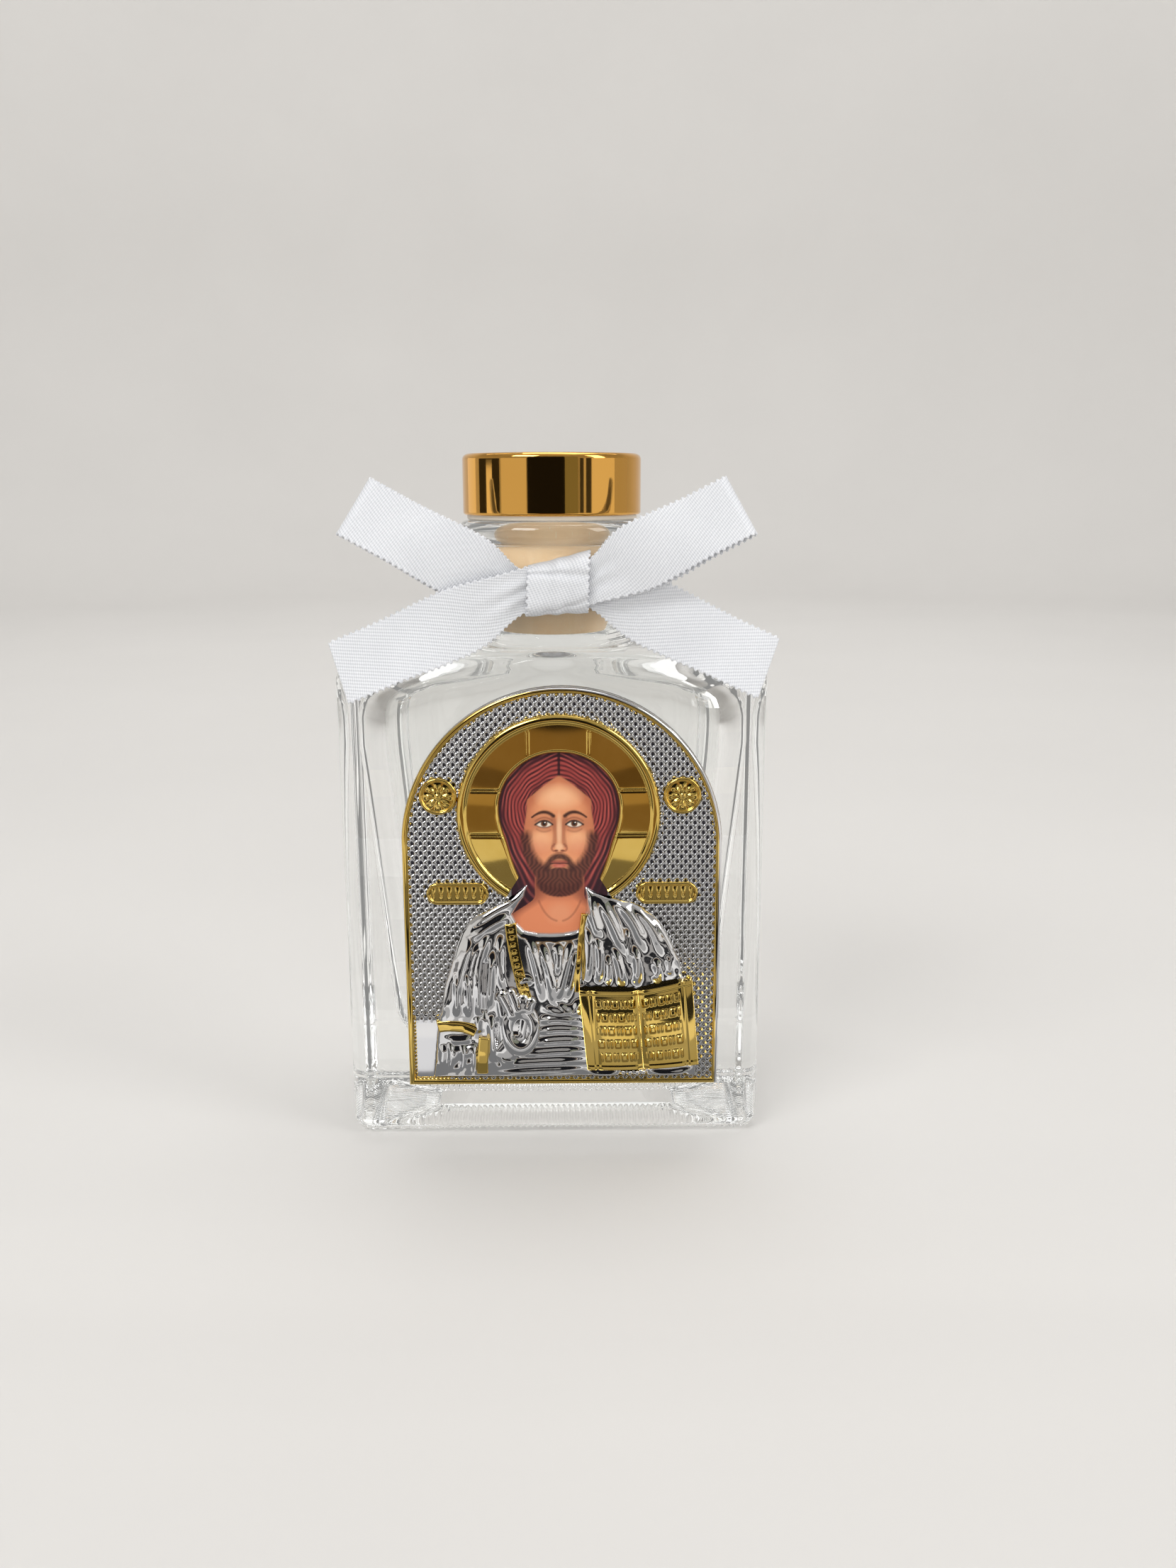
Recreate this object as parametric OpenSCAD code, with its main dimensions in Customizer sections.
// Holy water bottle: a flat flint-glass bottle with a T-stopper, a satin bow
// tied round its neck and an arched icon plaque glued to its front face.
// Millimetres, +Z up, origin at the centre of the standing face, front at -Y.

/* [Glass body] */
// Width of the glass body
body_w = 65.4; // [64:0.1:70]
// Depth of the glass body, front to back
body_d = 35; // [34:0.1:40]
// Height of the shoulder at the middle of the body
body_h = 78.2; // [77.8:0.1:81.8]
// How much lower the shoulder is at its two ends
shoulder_drop = 1.6; // [0.8:0.1:2.4]
// Radius of the upright edges
edge_r = 3; // [2:0.1:4]
// Radius of the shoulder's long edges
shoulder_r = 3; // [2:0.1:3.5]
// Radius of the heel
heel_r = 2.5; // [1.5:0.1:3.5]
// Thickness of the side walls
side_wall = 4; // [3.5:0.1:5]
// Thickness of the front and back walls
face_wall = 4.6; // [4:0.1:5.5]
// Thickness of the base
base_t = 11; // [9:0.1:13]
// Thickness of glass between the cavity and the shoulder
roof_t = 4.6; // [3.5:0.1:6]
// Radius of the cavity's lower and upright corners
cavity_r = 9; // [7:0.1:11]
// Width of the ring that the bottle stands on
stand_w = 4; // [3:0.1:5]
// Depth of the recess inside the standing ring
recess_t = 1.2; // [0.6:0.1:2]

/* [Neck] */
// Outer diameter of the neck
neck_d = 23.4; // [22.6:0.1:24]
// Diameter of the bore that takes the stopper
bore_d = 18.5; // [18:0.1:19]
// Length of the neck between the shoulder and the lip
neck_l = 15.4; // [15:0.1:17]
// Radius of the sweep from the neck to the shoulder
neck_sweep = 3; // [2:0.1:3.6]
// Outer diameter of the lip
lip_d = 29.8; // [29.4:0.1:31]
// Height of the lip
lip_h = 3.6; // [3:0.1:4]

/* [Stopper] */
// Diameter of the gilt cap
cap_d = 28; // [27.6:0.1:29]
// Height of the gilt cap
cap_h = 9.3; // [8.6:0.1:10]
// Radius of the cap's top edge
cap_edge_r = 0.9; // [0.5:0.1:1.5]
// Wall of the cap
cap_wall = 0.6; // [0.4:0.05:0.8]
// Gap between the lip and the cap, filled by the insert's foot
cap_lift = 0.75; // [0.5:0.05:1]
// Length of the plug inside the neck
plug_l = 17.6; // [16:0.1:18]
// Diameter of the plug's tapered lower end
plug_tip_d = 16.9; // [16:0.1:17.4]
// Height of that taper
plug_taper = 3; // [2:0.1:5]
// Diameter of the insert's spigot inside the plug
spigot_d = 7; // [5:0.1:9]
// Length of that spigot
spigot_l = 9; // [6:0.1:11]

/* [Ribbon] */
// Width of the ribbon
ribbon_w = 10; // [9.5:0.1:10.4]
// Thickness of the ribbon
ribbon_t = 0.4; // [0.3:0.05:0.5]
// Sideways place of the knot
bow_x = 0.8; // [-1:0.1:1]
// Height of the knot's middle above the shoulder
bow_rise = 10; // [9.6:0.1:10.4]
// Width, depth and height of the knot
knot_size = [8.4, 4.4, 9]; // [3:0.1:10]
// Length of the left loop
loop_left_l = 26.6; // [22:0.1:28]
// Length of the right loop
loop_right_l = 24.3; // [22:0.1:28]
// Angle at which the loops rise
loop_rise = 27; // [25:0.5:32]
// Length of each tail
tail_l = 29.4; // [27:0.1:31]
// Angle at which the tails fall
tail_fall = 24; // [21:0.5:26]
// Depth of the open fold at the end of a loop
fold_gap = 2.4; // [1.6:0.1:3]
// How far the ribbon leans back at its free ends, in degrees
ribbon_lean = 28; // [20:1:32]

/* [Plaque] */
// Width of the arched plaque
plaque_w = 48.6; // [47.6:0.1:50]
// Height of the arched plaque
plaque_h = 63.4; // [63:0.1:65]
// Sideways place of the plaque's middle
plaque_x = 1.4; // [0:0.1:2]
// Height of the plaque's lower edge
plaque_z = 10.1; // [8.8:0.1:10.4]
// Thickness of the adhesive pad
pad_t = 0.8; // [0.5:0.05:1.2]
// How far the pad stays inside the plaque
pad_inset = 2; // [1:0.1:4]
// Thickness of the backing board
backing_t = 1.2; // [0.8:0.1:2]
// Thickness of the stamped field sheet
sheet_t = 0.5; // [0.3:0.05:0.6]
// Width of the beaded rim
rim_w = 1; // [0.8:0.1:1.2]
// Sideways place of the figure on the plaque
figure_x = -0.4; // [-0.6:0.1:0]
// Height of the halo's middle above the plaque's lower edge
halo_z = 44.9; // [44.6:0.1:45.4]
// Outer radius of the halo
halo_r = 15; // [14.6:0.1:15.2]
// Width of the halo's raised edge
halo_edge = 0.9; // [0.6:0.1:1.2]
// Radius of the printed head
head_r = 9; // [8.6:0.1:9.2]
// Half width of the printed neck
throat_w = 3.9; // [3.6:0.1:4.2]
// Gap between a roundel and the halo or the rim
roundel_gap = 0.4; // [0.2:0.05:0.8]
// Height of the roundels above the halo's middle
roundel_rise = 2; // [1:0.1:2.6]
// Length and height of the two title plates
title_size = [9.6, 3.6]; // [3:0.1:10]
// Gap between a title plate and the rim
title_gap = 2.5; // [2:0.1:2.8]
// Height of the title plates' middle
title_z = 31.6; // [31:0.1:32]
// Height of the robe's relief
robe_t = 1.3; // [1:0.1:1.6]
// Width of a page of the open book
page_w = 8.6; // [8:0.1:8.8]
// Height of a page
page_h = 13.6; // [12.8:0.1:13.8]
// Rise of the right page towards its outer edge, in degrees
page_skew = 8; // [4:0.5:9]

/* [Hidden] */
$fn = 64;

// Clearances: sliding fit, glued fit, cloth beside a hard face, cut margin
run_gap = 0.05;
glue_gap = 0.03;
cloth_gap = 0.12;
cut = 1;

// Heights up the bottle
front_y = -body_d / 2;
lip_z = body_h + neck_l;
mouth_z = lip_z + lip_h;
cap_z = mouth_z + cap_lift;
roof_z = body_h - roof_t;
knot_z = body_h + bow_rise;

// Depths of the ribbon's layers in front of the neck
band_r = neck_d / 2 + cloth_gap + ribbon_t;
knot_y = -(band_r + cloth_gap);
near_y = knot_y - knot_size[1] * 0.84;
far_y = knot_y - knot_size[1] * 0.5;
root_x = knot_size[0] / 2 + cloth_gap;

// Depths of the plaque's layers
backing_y = front_y - pad_t;
sheet_y = backing_y - backing_t;
relief_y = sheet_y - sheet_t;
arch_r = plaque_w / 2;

// Places on the plaque, from the middle of its lower edge
field_w = arch_r - rim_w;
arch_z = plaque_h - arch_r;
robe_margin = 3.4;
robe_half = arch_r - robe_margin;
robe_foot = rim_w + 0.2;
elbow_z = 17;
shoulder_z = 29.8;
collar_z = 32.4;
collar_w = throat_w + 1.2;
slope_right = [3.8, 0.3];
slope_left = [5.2, 1.2];
throat_z = 25.7;
head_z = halo_z - 0.6;
locks_drop = 1.2;
roundel_z = halo_z + roundel_rise;
stripe_top = [-7.2, 27];
stripe_foot = [-4.8, 15.2];
cuff_inset = [1.9, 7, 8, 8.8];
cuff_outer = [[cuff_inset[0] - robe_half, 9.4], [cuff_inset[1] - robe_half, 9.6]];
cuff_inner = [[cuff_inset[2] - robe_half, 8.2], [cuff_inset[3] - robe_half, 2]];
hem_top = [3.1, 27.2];
hem_foot = [2.2, 17.2];
palm = [-7, 9.6];
thumb = [-4.4, 8.6];
book_margin = 0.3;
spine = [robe_half - page_w - book_margin, 2.7];

// Widths and heights of the small trims
stripe_w = 1.9;
cuff_w = 1.8;
hem_w = 0.8;
palm_r = 2.7;
thumb_r = 1.6;
trim_rise = 0.3;
book_rise = 0.5;
hand_rise = 0.6;
badge_t = 0.6;
badge_edge = 0.5;
halo_t = 0.5;
fold_w = 1.3;
fold_rise = 0.5;
relief_cut = 4;

// Plane shapes

module rounded_rect(w, h, r) {
  square([w, h - 2 * r], center = true);
  square([w - 2 * r, h], center = true);
  for (x = [-1, 1], y = [-1, 1])
    translate([x * (w / 2 - r), y * (h / 2 - r)]) circle(r);
}

module arch(inset = 0) {
  translate([0, plaque_h - arch_r]) circle(arch_r - inset);
  translate([-arch_r + inset, inset]) square([plaque_w - 2 * inset, plaque_h - arch_r - inset]);
}

module pill(l, h) {
  square([l - h, h], center = true);
  for (x = [-1, 1]) translate([x * (l - h) / 2, 0]) circle(h / 2);
}

// Head and throat of the printed panel, shrunk by a gap
module panel_shape(gap = 0) {
  locks_r = head_r * 0.62;
  translate([figure_x, head_z]) circle(head_r - gap);
  translate([figure_x, head_z - head_r + locks_drop]) circle(locks_r - gap);
  translate([figure_x - throat_w + gap, throat_z + gap])
    square([2 * (throat_w - gap), head_z - throat_z]);
}

// Outline of the robe: arms, sloping shoulders and the lower edge
module robe_shape(gap = 0) {
  half = robe_half - gap;
  slope_z = shoulder_z - gap - robe_foot;
  collar_h = collar_z - gap - robe_foot;
  elbow_h = elbow_z - robe_foot;
  translate([0, robe_foot]) polygon([
    [-half, 0], [half, 0], [half, elbow_h],
    [half * 0.78, slope_z - slope_right[0]], [half * 0.52, slope_z - slope_right[1]], [collar_w, collar_h],
    [-collar_w, collar_h], [-half * 0.58, slope_z - slope_left[1]], [-half * 0.76, slope_z - slope_left[0]],
    [-half * 0.92, elbow_h]
  ]);
}

// Places a plane shape on the plaque and raises it towards the front
module raise(y, t) {
  translate([plaque_x, y, plaque_z]) rotate([90, 0, 0]) linear_extrude(t) children();
}

module at_plaque(y) {
  translate([plaque_x, y, plaque_z]) rotate([90, 0, 0]) children();
}

// Glass

// Front view of the body: rounded heel, shoulder arched from end to end
module front_profile() {
  arc_r = (body_w * body_w / 4) / (2 * shoulder_drop);
  end_z = body_h - arc_r + sqrt(pow(arc_r - shoulder_r, 2) - pow(body_w / 2 - shoulder_r, 2));
  heel_x = body_w / 2 - heel_r;
  intersection() {
    translate([-body_w / 2 + shoulder_r, heel_r]) square([body_w - 2 * shoulder_r, body_h]);
    translate([0, body_h - arc_r]) circle(arc_r, $fn = 200);
  }
  translate([-body_w / 2, heel_r]) square([body_w, end_z - heel_r]);
  for (x = [-1, 1]) translate([x * (body_w / 2 - shoulder_r), end_z]) circle(shoulder_r);
  translate([-heel_x, 0]) square([2 * heel_x, heel_r + cut]);
  for (x = [-1, 1]) translate([x * heel_x, heel_r]) circle(heel_r);
}

// Side view of the body: rounded heel and rounded long shoulder edges
module side_profile() {
  heel_y = body_d / 2 - heel_r;
  top_y = body_d / 2 - shoulder_r;
  translate([-body_d / 2, heel_r]) square([body_d, body_h - heel_r - shoulder_r]);
  translate([-heel_y, 0]) square([2 * heel_y, heel_r + cut]);
  translate([-top_y, body_h - shoulder_r - cut]) square([2 * top_y, shoulder_r + cut]);
  for (s = [-1, 1]) {
    translate([s * heel_y, heel_r]) circle(heel_r);
    translate([s * top_y, body_h - shoulder_r]) circle(shoulder_r);
  }
}

module body_block() {
  intersection() {
    linear_extrude(body_h) rounded_rect(body_w, body_d, edge_r);
    translate([0, body_d, 0]) rotate([90, 0, 0]) linear_extrude(2 * body_d) front_profile();
    translate([-body_w, 0, 0]) rotate([90, 0, 90]) linear_extrude(2 * body_w) side_profile();
  }
}

module cavity() {
  w = body_w - 2 * side_wall;
  d = body_d - 2 * face_wall;
  h = roof_z - base_t;
  mid_z = (roof_z + base_t) / 2;
  intersection() {
    translate([0, 0, base_t]) linear_extrude(h) rounded_rect(w, d, cavity_r);
    translate([0, d, mid_z]) rotate([90, 0, 0]) linear_extrude(2 * d) rounded_rect(w, h, cavity_r);
    translate([-w, 0, mid_z]) rotate([90, 0, 90]) linear_extrude(2 * w) rounded_rect(d, h, cavity_r);
  }
}

// Neck, sweep to the shoulder and round-edged lip
module neck_blank() {
  foot_z = body_h - shoulder_r;
  sweep_r = neck_d / 2 + neck_sweep;
  lip_edge = lip_h / 2;
  rotate_extrude() {
    translate([0, foot_z]) square([neck_d / 2, mouth_z - foot_z]);
    translate([0, lip_z]) square([lip_d / 2 - lip_edge, lip_h]);
    translate([lip_d / 2 - lip_edge, lip_z + lip_edge]) circle(lip_edge);
    difference() {
      translate([0, body_h - cut / 2]) square([sweep_r, neck_sweep + cut / 2]);
      translate([sweep_r, body_h + neck_sweep]) circle(neck_sweep);
    }
  }
}

module glass_bottle() {
  color([0.86, 0.93, 0.93, 0.45]) difference() {
    union() {
      body_block();
      neck_blank();
    }
    cavity();
    translate([0, 0, roof_z - cavity_r]) cylinder(d = bore_d, h = mouth_z - roof_z + cavity_r + cut);
    translate([0, 0, -cut]) linear_extrude(recess_t + cut)
      rounded_rect(body_w - 2 * (heel_r + stand_w), body_d - 2 * (heel_r + stand_w), edge_r);
  }
}

// Stopper

module cap_shell() {
  inner_r = cap_d / 2 - cap_wall;
  color("goldenrod") translate([0, 0, cap_z]) difference() {
    rotate_extrude() {
      square([cap_d / 2, cap_h - cap_edge_r]);
      square([cap_d / 2 - cap_edge_r, cap_h]);
      translate([cap_d / 2 - cap_edge_r, cap_h - cap_edge_r]) circle(cap_edge_r);
    }
    translate([0, 0, -cut]) cylinder(r = inner_r, h = cap_h - cap_wall + cut);
  }
}

module cap_insert() {
  core_r = cap_d / 2 - cap_wall - glue_gap;
  foot_z = mouth_z + run_gap;
  core_top = cap_z + cap_h - cap_wall - glue_gap;
  color("wheat") {
    translate([0, 0, foot_z]) cylinder(r = core_r, h = core_top - foot_z);
    translate([0, 0, foot_z - spigot_l]) cylinder(d = spigot_d, h = spigot_l + cut);
  }
}

module stopper_plug() {
  plug_r = bore_d / 2 - run_gap;
  top_z = mouth_z + run_gap;
  tip_z = top_z - plug_l;
  color("burlywood") difference() {
    union() {
      translate([0, 0, tip_z + plug_taper]) cylinder(r = plug_r, h = plug_l - plug_taper);
      translate([0, 0, tip_z]) cylinder(d1 = plug_tip_d, r2 = plug_r, h = plug_taper);
    }
    translate([0, 0, top_z - spigot_l - glue_gap])
      cylinder(d = spigot_d + 2 * glue_gap, h = spigot_l + glue_gap + cut);
  }
}

// Ribbon

function unit(v) = v / norm(v);
function smooth(s) = s * s * (3 - 2 * s);
function ease(s, from, to) = smooth(max(0, min(1, (s - from) / (to - from))));
function flat_run(root, tip) = unit([tip.x - root.x, 0, tip.z - root.z]);

// Half width of the ribbon at s along an arm: upright and pinched where it leaves the knot,
// then square to the arm and leaning back towards the free end
function half_width(root, tip, s) =
  let (
    u = flat_run(root, tip),
    square_up = u.x > 0 ? [-u.z, 0, u.x] : [u.z, 0, -u.x],
    turn = ease(s, 0, 0.3),
    up = unit([0, 0, 1 - turn] + square_up * turn),
    spread = 0.72 + 0.28 * ease(s, 0, 0.4),
    lean = ribbon_lean * ease(s, 0.2, 0.8)
  )
  0.5 * ribbon_w * spread * (up * cos(lean) + [0, 1, 0] * sin(lean));

// Middle line of an arm at s: straight in the front view, moving in depth once past the hold
function middle(root, tip, s, hold) =
  let (p = root + (tip - root) * s)
  [p.x, root.y + (tip.y - root.y) * ease(s, hold, 1), p.z];

// A strip of ribbon from its middle line and the half widths along it
module strip(mid, half) {
  n = len(mid);
  across = [
    for (i = [0 : n - 1])
      unit(cross(mid[min(i + 1, n - 1)] - mid[max(i - 1, 0)], half[i])) * ribbon_t / 2
  ];
  corners = [
    for (i = [0 : n - 1]) each [
      mid[i] + half[i] + across[i], mid[i] - half[i] + across[i],
      mid[i] - half[i] - across[i], mid[i] + half[i] - across[i]
    ]
  ];
  // The two wide faces are split along the same diagonal, so that the twisted strip keeps its thickness
  sides = [
    for (i = [0 : n - 2], k = [0 : 3])
      let (a = 4 * i + k, b = 4 * i + (k + 1) % 4)
        each k < 2 ? [[a, a + 4, b], [b, a + 4, b + 4]] : [[a, a + 4, b + 4], [a, b + 4, b]]
  ];
  ends = [[0, 1, 2, 3], [4 * n - 1, 4 * n - 2, 4 * n - 3, 4 * n - 4]];
  polyhedron(corners, concat(sides, ends));
}

steps = 14;

// A tail: from the knot out to its cut end
module tail(root, tip, hold) {
  s = [for (i = [0 : steps]) i / steps];
  strip([for (a = s) middle(root, tip, a, hold)], [for (a = s) half_width(root, tip, a)]);
}

// A loop: out along the front layer, round the fold and back behind it
module loop(root, tip) {
  u = flat_run(root, tip);
  s = [for (i = [0 : steps]) i / steps];
  pinch = 1.6 * ribbon_t;
  fold = [
    for (i = [1 : steps - 1])
      tip + u * sin(180 * i / steps) * fold_gap / 2 + [0, 1, 0] * (1 - cos(180 * i / steps)) * fold_gap / 2
  ];
  front = [for (a = s) middle(root, tip, a, 0)];
  back = [for (i = [steps : -1 : 0]) front[i] + [0, pinch + (fold_gap - pinch) * smooth(s[i]), 0]];
  strip(
    concat(front, fold, back),
    concat(
      [for (a = s) half_width(root, tip, a)],
      [for (p = fold) half_width(root, tip, 1)],
      [for (i = [steps : -1 : 0]) half_width(root, tip, s[i])]
    )
  );
}

// Place of an arm's root beside the knot, and of its free end; the right tail stays behind
// the right loop up to its hold
right_hold = 0.3;
function arm_root(side, y) = [bow_x + side * root_x, y, knot_z];
function arm_tip(side, y, l, rise) = [bow_x + side * (root_x + l * cos(rise)), y, knot_z + l * sin(rise)];

tail_stand = 2.9;
loop_stand = 0.6;
tail_tip_y = front_y - tail_stand;
loop_tip_y = near_y - loop_stand;

module ribbon_band() {
  color("white") translate([0, 0, knot_z - ribbon_w * 0.45]) difference() {
    cylinder(r = band_r, h = ribbon_w * 0.9);
    translate([0, 0, -cut]) cylinder(r = band_r - ribbon_t, h = ribbon_w + cut);
  }
}

module ribbon_knot() {
  w = knot_size[0];
  d = knot_size[1];
  h = knot_size[2];
  bulge_r = (h * h / 4 + d * d) / (2 * d);
  color("white") translate([bow_x, knot_y, knot_z]) intersection() {
    translate([-w / 2, -d, -h / 2]) cube([w, d, h]);
    translate([-w, bulge_r - d, 0]) rotate([0, 90, 0]) cylinder(r = bulge_r, h = 2 * w);
  }
}

module ribbon_loop_left() {
  color("whitesmoke") loop(arm_root(-1, far_y), arm_tip(-1, loop_tip_y, loop_left_l, loop_rise));
}

module ribbon_loop_right() {
  color("whitesmoke") loop(arm_root(1, near_y), arm_tip(1, loop_tip_y, loop_right_l, loop_rise));
}

module ribbon_tail_left() {
  color("white") tail(arm_root(-1, near_y), arm_tip(-1, tail_tip_y, tail_l, -tail_fall), 0);
}

module ribbon_tail_right() {
  color("white") tail(arm_root(1, far_y), arm_tip(1, tail_tip_y, tail_l, -tail_fall), right_hold);
}

// Plaque

module plaque_adhesive() {
  color("gainsboro") raise(front_y, pad_t) arch(pad_inset);
}

module plaque_backing() {
  color("dimgray") raise(backing_y, backing_t) arch();
}

module plaque_field() {
  color("silver") raise(sheet_y, sheet_t) difference() {
    arch();
    panel_shape();
  }
}

module face_panel() {
  color("peru") raise(sheet_y, sheet_t) panel_shape(glue_gap);
}

// Half-round bead along the arch, the sides and the lower edge
module plaque_rim() {
  r = rim_w / 2;
  side_h = plaque_h - arch_r - r;
  color("gold") at_plaque(relief_y) intersection() {
    union() {
      translate([0, plaque_h - arch_r, 0]) rotate_extrude(angle = 180) translate([arch_r - r, 0]) circle(r);
      for (s = [-1, 1]) translate([s * (arch_r - r), r, 0]) {
        rotate([-90, 0, 0]) cylinder(r = r, h = side_h);
        sphere(r);
      }
      translate([-arch_r + r, r, 0]) rotate([0, 90, 0]) cylinder(r = r, h = plaque_w - 2 * r);
    }
    translate([-plaque_w, -cut, 0]) cube([2 * plaque_w, plaque_h + 2 * cut, rim_w]);
  }
}

// Gilt halo with a raised edge, cut away where the robe's shoulders lie over it
module halo() {
  color("gold") difference() {
    union() {
      raise(relief_y, halo_t) translate([figure_x, halo_z]) circle(halo_r);
      at_plaque(relief_y - halo_t) translate([figure_x, halo_z, 0])
        rotate_extrude() translate([halo_r - halo_edge / 2, 0]) circle(halo_edge / 2);
    }
    raise(sheet_y, relief_cut) {
      panel_shape(-glue_gap);
      robe_shape(-glue_gap);
    }
    raise(sheet_y, sheet_t) square(4 * plaque_w, center = true);
  }
}

// Lines of the robe's main folds, from the shoulders down to the sleeves and waist
function fold_lines() = let (h = plaque_w / 2) [
  [[-0.52 * h, 27], [-0.66 * h, 15]],
  [[-0.38 * h, 25], [-0.44 * h, 15]],
  [[0.30 * h, 29], [0.50 * h, 19.4]],
  [[0.47 * h, 26], [0.62 * h, 19.4]],
  [[-0.08 * h, 23], [-0.02 * h, 15]],
  [[0.07 * h, 23], [0.01 * h, 13]],
  [[-0.08 * h, 4.6], [0.09 * h, 5.4]],
  [[-0.36 * h, 3], [0.09 * h, 3.2]]
];

module robe() {
  color("lightgray") difference() {
    union() {
      raise(relief_y, robe_t) robe_shape();
      raise(relief_y, robe_t + fold_rise) for (f = fold_lines()) {
        run = f[1] - f[0];
        translate((f[0] + f[1]) / 2) rotate(atan2(run.y, run.x)) pill(norm(run) + fold_w, fold_w);
      }
    }
    raise(sheet_y, relief_cut) {
      panel_shape(-glue_gap);
      open_book_shape(-glue_gap);
      hand_shape(-glue_gap);
      stripe_shape(-glue_gap);
      cuff_shape(-glue_gap);
      hem_shape(-glue_gap);
    }
  }
}

// A straight band of a given width between two points, shrunk by a gap
module band_shape(a, b, w, gap) {
  run = b - a;
  translate(a) rotate(atan2(run.y, run.x)) translate([gap, gap - w / 2])
    square([norm(run) - 2 * gap, w - 2 * gap]);
}

module stripe_shape(gap = 0) {
  band_shape(stripe_top, stripe_foot, stripe_w, gap);
}

module cuff_shape(gap = 0) {
  for (c = [cuff_outer, cuff_inner]) band_shape(c[0], c[1], cuff_w, gap);
}

module hem_shape(gap = 0) {
  band_shape(hem_top, hem_foot, hem_w, gap);
}

// Raised hand in front of the chest
module hand_shape(gap = 0) {
  translate(palm) circle(palm_r - gap);
  translate(thumb) circle(thumb_r - gap);
}

// Two pages that meet at the spine, the right one rising outwards
module open_book_shape(gap = 0) {
  rise = page_w * sin(page_skew);
  translate(spine) {
    polygon([[-page_w + gap, gap], [0, gap], [0, page_h - gap], [-page_w + gap, page_h - gap]]);
    polygon([[0, gap], [page_w - gap, rise + gap], [page_w - gap, rise + page_h - gap], [0, page_h - gap]]);
  }
}

module blessing_hand() {
  color("silver") raise(relief_y, robe_t + hand_rise) hand_shape();
}

module robe_stripe() {
  color("gold") raise(relief_y, robe_t + trim_rise) stripe_shape();
}

module robe_cuffs() {
  color("gold") raise(relief_y, robe_t + trim_rise) cuff_shape();
}

module mantle_hem() {
  color("gold") raise(relief_y, robe_t + trim_rise) hem_shape();
}

module open_book() {
  color("gold") raise(relief_y, robe_t + book_rise) open_book_shape();
}

// Inner edge of the rim, and edge of the halo, at a roundel's height
rim_edge = sqrt(pow(field_w, 2) - pow(roundel_z - arch_z, 2));
halo_side = sqrt(pow(halo_r, 2) - pow(roundel_rise, 2));
roundel_r = (rim_edge - halo_side - abs(figure_x)) / 2 - roundel_gap;

// Disc with a raised edge, midway between the halo and the rim
module roundel(side) {
  at = [side * (rim_edge + halo_side + side * figure_x) / 2, roundel_z];
  color("gold") difference() {
    raise(relief_y, badge_t) translate(at) circle(roundel_r);
    raise(relief_y - badge_t / 2, badge_t) translate(at) circle(roundel_r - badge_edge);
  }
}

module roundel_left() {
  roundel(-1);
}

module roundel_right() {
  roundel(1);
}

// Round-ended plate with a raised edge, clear of the halo and the shoulders
module title_plate(side) {
  l = title_size[0];
  h = title_size[1];
  at = [side * (field_w - title_gap - l / 2), title_z];
  color("gold") difference() {
    raise(relief_y, badge_t) translate(at) pill(l, h);
    raise(relief_y - badge_t / 2, badge_t) translate(at) pill(l - 2 * badge_edge, h - 2 * badge_edge);
    raise(sheet_y, relief_cut) {
      robe_shape(-glue_gap);
      translate([figure_x, halo_z]) circle(halo_r + glue_gap);
    }
  }
}

module title_plate_left() {
  title_plate(-1);
}

module title_plate_right() {
  title_plate(1);
}

glass_bottle();
cap_shell();
cap_insert();
stopper_plug();
ribbon_band();
ribbon_knot();
ribbon_loop_left();
ribbon_loop_right();
ribbon_tail_left();
ribbon_tail_right();
plaque_adhesive();
plaque_backing();
plaque_field();
plaque_rim();
halo();
face_panel();
robe();
blessing_hand();
robe_stripe();
robe_cuffs();
mantle_hem();
open_book();
roundel_left();
roundel_right();
title_plate_left();
title_plate_right();
